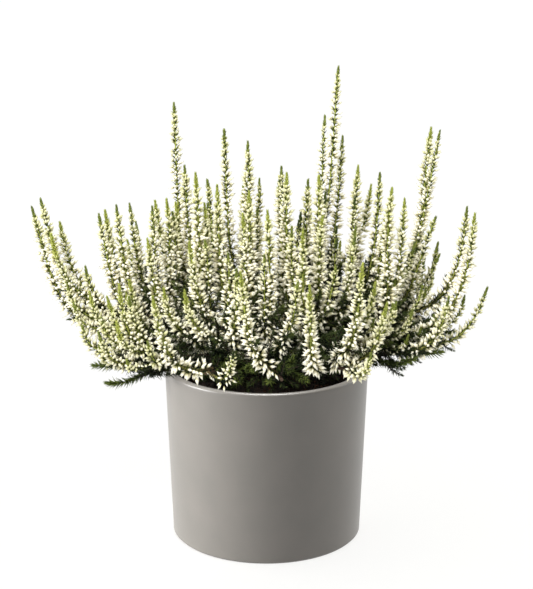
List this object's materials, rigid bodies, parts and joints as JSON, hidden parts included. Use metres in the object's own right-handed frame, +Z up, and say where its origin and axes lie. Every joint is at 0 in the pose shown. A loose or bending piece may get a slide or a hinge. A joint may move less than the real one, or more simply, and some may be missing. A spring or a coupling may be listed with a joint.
{
  "type": "potted heather",
  "caption": "Bud-flowering heather with upright white flower spikes, in a grow pot inside a plain grey ceramic cover pot.",
  "frame": {"origin": "centre of the cover pot's underside, on the surface it stands on", "axes": "+Z up along the pot's axis; -Y towards the side that faces the viewer, +X to that viewer's right"},
  "size_m": [0.303, 0.233, 0.3051],
  "materials": {
    "glazed_stoneware": "satin",
    "grow_pot_plastic": "matte",
    "potting_soil": "matte",
    "heather_bark": "matte",
    "heather_flowers": "matte",
    "heather_leaves": "matte"
  },
  "bodies": {
    "root": {"cover_pot": "glazed_stoneware", "grow_pot": "grow_pot_plastic", "root_ball": "potting_soil", "root_crown": "heather_bark", "woody_stem_01": "heather_bark", "woody_stem_02": "heather_bark", "woody_stem_03": "heather_bark", "woody_stem_04": "heather_bark", "woody_stem_05": "heather_bark", "woody_stem_06": "heather_bark", "woody_stem_07": "heather_bark", "woody_stem_08": "heather_bark", "woody_stem_09": "heather_bark", "woody_stem_10": "heather_bark", "flower_spike_01": "heather_flowers", "flower_spike_02": "heather_flowers", "flower_spike_03": "heather_flowers", "flower_spike_04": "heather_flowers", "flower_spike_05": "heather_flowers", "flower_spike_06": "heather_flowers", "flower_spike_07": "heather_flowers", "flower_spike_08": "heather_flowers", "flower_spike_09": "heather_flowers", "flower_spike_10": "heather_flowers", "flower_spike_11": "heather_flowers", "flower_spike_12": "heather_flowers", "flower_spike_13": "heather_flowers", "flower_spike_14": "heather_flowers", "flower_spike_15": "heather_flowers", "flower_spike_16": "heather_flowers", "flower_spike_17": "heather_flowers", "flower_spike_18": "heather_flowers", "flower_spike_19": "heather_flowers", "flower_spike_20": "heather_flowers", "flower_spike_21": "heather_flowers", "flower_spike_22": "heather_flowers", "flower_spike_23": "heather_flowers", "flower_spike_24": "heather_flowers", "flower_spike_25": "heather_flowers", "flower_spike_26": "heather_flowers", "flower_spike_27": "heather_flowers", "flower_spike_28": "heather_flowers", "flower_spike_29": "heather_flowers", "flower_spike_30": "heather_flowers", "flower_spike_31": "heather_flowers", "flower_spike_32": "heather_flowers", "flower_spike_33": "heather_flowers", "flower_spike_34": "heather_flowers", "flower_spike_35": "heather_flowers", "flower_spike_36": "heather_flowers", "flower_spike_37": "heather_flowers", "flower_spike_38": "heather_flowers", "flower_spike_39": "heather_flowers", "flower_spike_40": "heather_flowers", "flower_spike_41": "heather_flowers", "flower_spike_42": "heather_flowers", "flower_spike_43": "heather_flowers", "flower_spike_44": "heather_flowers", "leafy_shoot_01": "heather_leaves", "leafy_shoot_02": "heather_leaves"}
  },
  "joints": []
}
